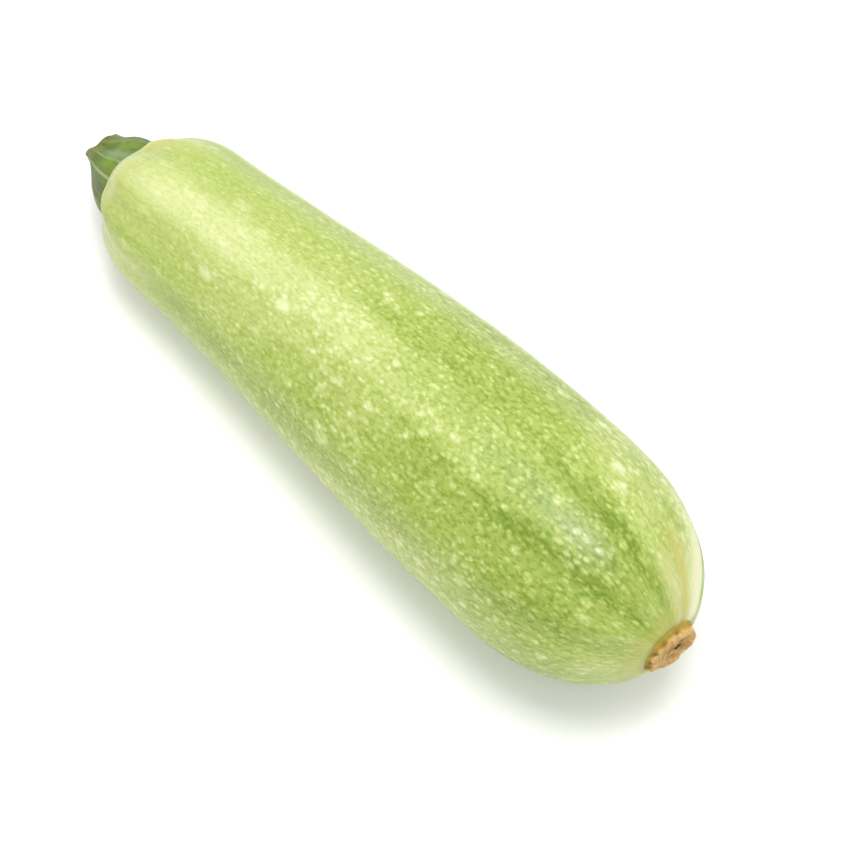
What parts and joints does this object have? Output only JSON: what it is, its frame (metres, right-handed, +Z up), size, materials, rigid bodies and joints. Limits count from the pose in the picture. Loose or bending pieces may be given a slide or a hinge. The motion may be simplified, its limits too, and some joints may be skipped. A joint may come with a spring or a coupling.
{
  "type": "zucchini",
  "caption": "Light-green zucchini lying on its side: ribbed fruit with a slim neck and full belly, a short cut stem and a corky blossom scar.",
  "frame": {"origin": "on the surface that the zucchini lies on, under the middle of its box", "axes": "+X along the zucchini from the stem to the blossom end, +Z up, +Y towards the side that it bends out to"},
  "size_m": [0.2112, 0.0622, 0.063],
  "materials": {
    "zucchini_skin": "waxy semi-gloss skin, light green with darker grooves and pale flecks",
    "zucchini_stem": "matt grey-green, fibrous, with pale ribs",
    "blossom_scar_cork": "dry matt cork, tan with dark brown spots"
  },
  "bodies": {
    "root": {"fruit": "zucchini_skin", "stem": "zucchini_stem", "blossom_scar": "blossom_scar_cork"}
  },
  "joints": []
}
